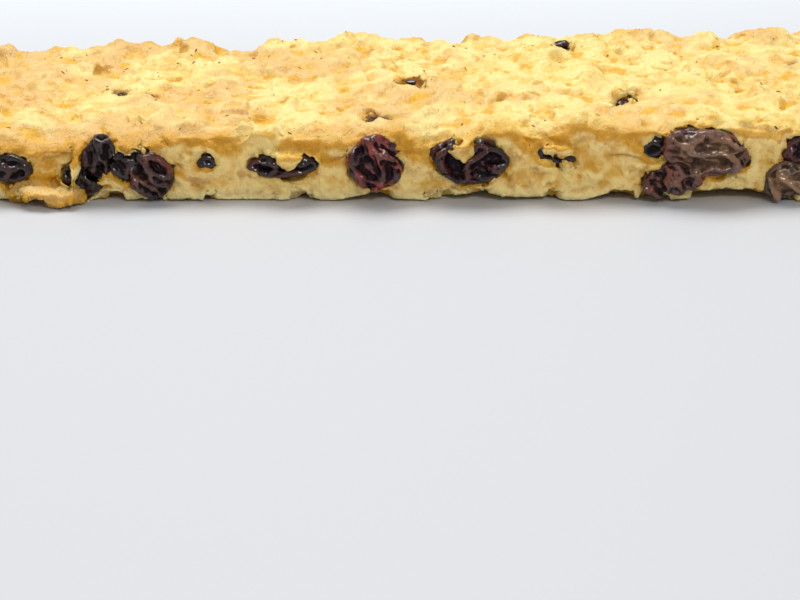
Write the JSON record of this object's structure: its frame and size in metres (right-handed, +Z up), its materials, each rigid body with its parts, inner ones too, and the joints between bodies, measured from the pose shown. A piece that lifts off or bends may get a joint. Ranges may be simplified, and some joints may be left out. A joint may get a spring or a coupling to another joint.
{
  "type": "garibaldi biscuit",
  "caption": "Long flat finger of pale golden baked biscuit dough with a lumpy toasted top, and dried currants showing in its cut sides, top and underside.",
  "frame": {"origin": "middle of the underside: the middle of the bounding box in X and Y, at the surface it rests on", "axes": "+X along the finger, from its thin narrow end to its thick wide end, +Y from the front cut side to the back one, +Z up out of the toasted top"},
  "size_m": [0.1014, 0.0394, 0.0087],
  "materials": {
    "dough": "matte",
    "currant": "satin"
  },
  "bodies": {
    "root": {"dough": "dough", "currant_front_01": "currant", "currant_front_02": "currant", "currant_front_03": "currant", "currant_front_04": "currant", "currant_front_05": "currant", "currant_front_06": "currant", "currant_front_07": "currant", "currant_front_08": "currant", "currant_front_09": "currant", "currant_front_10": "currant", "currant_front_11": "currant", "currant_front_12": "currant", "currant_front_13": "currant", "currant_front_14": "currant", "currant_front_15": "currant", "currant_front_16": "currant", "currant_front_17": "currant", "currant_right_01": "currant", "currant_right_02": "currant", "currant_right_03": "currant", "currant_back_01": "currant", "currant_back_02": "currant", "currant_back_03": "currant", "currant_back_04": "currant", "currant_back_05": "currant", "currant_back_06": "currant", "currant_back_07": "currant", "currant_back_08": "currant", "currant_back_09": "currant", "currant_back_10": "currant", "currant_back_11": "currant", "currant_left_01": "currant", "currant_left_02": "currant", "currant_left_03": "currant", "currant_top_01": "currant", "currant_top_02": "currant", "currant_top_03": "currant", "currant_top_04": "currant", "currant_top_05": "currant", "currant_top_06": "currant", "currant_top_07": "currant", "currant_top_08": "currant", "currant_top_09": "currant", "currant_top_10": "currant", "currant_under_01": "currant", "currant_under_02": "currant", "currant_under_03": "currant", "currant_under_04": "currant", "currant_under_05": "currant"}
  },
  "joints": []
}
